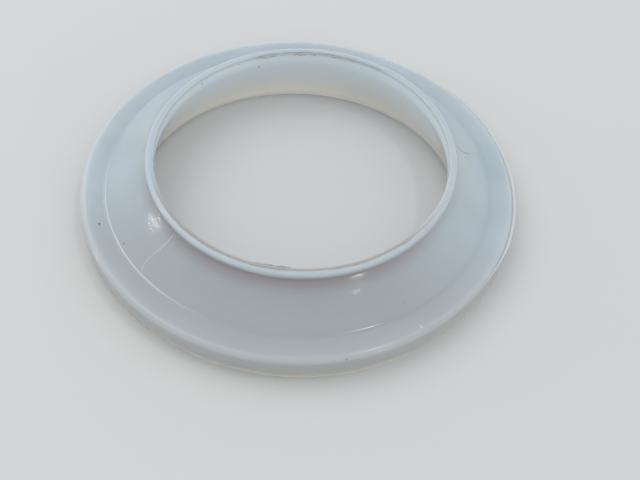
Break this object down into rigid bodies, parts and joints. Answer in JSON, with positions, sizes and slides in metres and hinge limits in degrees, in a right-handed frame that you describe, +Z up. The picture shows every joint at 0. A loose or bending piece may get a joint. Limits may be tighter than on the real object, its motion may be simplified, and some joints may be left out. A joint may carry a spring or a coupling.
{
  "type": "water heater flange gasket",
  "caption": "Round translucent silicone cone gasket for a water heater's heating flange: a flat flange ring that rises in a hollow-sided cone to a thin upright collar.",
  "frame": {"origin": "on the ring's axis, at the plane of its flat underside, which lies on the flange or table", "axes": "+Z up along the ring's axis, from the flat underside towards the thin collar; +X and +Y are free, because the ring is round"},
  "size_m": [0.092, 0.092, 0.0138],
  "materials": {
    "silicone": "smooth, glossy, milky translucent"
  },
  "bodies": {
    "root": {"flange_gasket": "silicone"}
  },
  "joints": []
}
